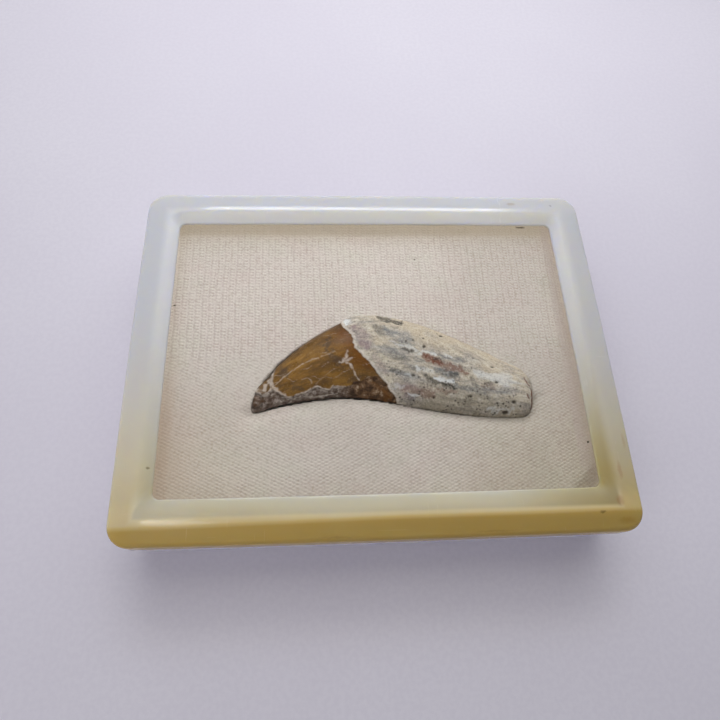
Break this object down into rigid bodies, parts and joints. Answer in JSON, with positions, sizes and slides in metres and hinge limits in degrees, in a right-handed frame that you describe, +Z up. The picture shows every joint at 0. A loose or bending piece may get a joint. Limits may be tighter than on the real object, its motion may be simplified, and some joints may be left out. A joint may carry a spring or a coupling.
{
  "type": "fossil tooth in display box",
  "caption": "Curved fossil whale tooth with enamel crown and pale root, bedded in a fabric-faced foam pad inside a shallow moulded display box with a clear window in its lift-off lid.",
  "frame": {"origin": "middle of the box's underside, on the surface it stands on", "axes": "+X along the box's long side, from the tooth's crown tip to its root end; +Y to the back of the box; +Z up through the window"},
  "size_m": [0.105, 0.081, 0.02],
  "materials": {
    "tray_plastic": "satin",
    "pad_fabric": "matte",
    "fossil_tooth": "semi-gloss enamel, matte root",
    "lid_plastic": "gloss",
    "clear_pane": "clear, gloss"
  },
  "bodies": {
    "root": {"tray": "tray_plastic", "pad": "pad_fabric", "tooth": "fossil_tooth", "lid_frame": "lid_plastic", "window_pane": "clear_pane"}
  },
  "joints": []
}
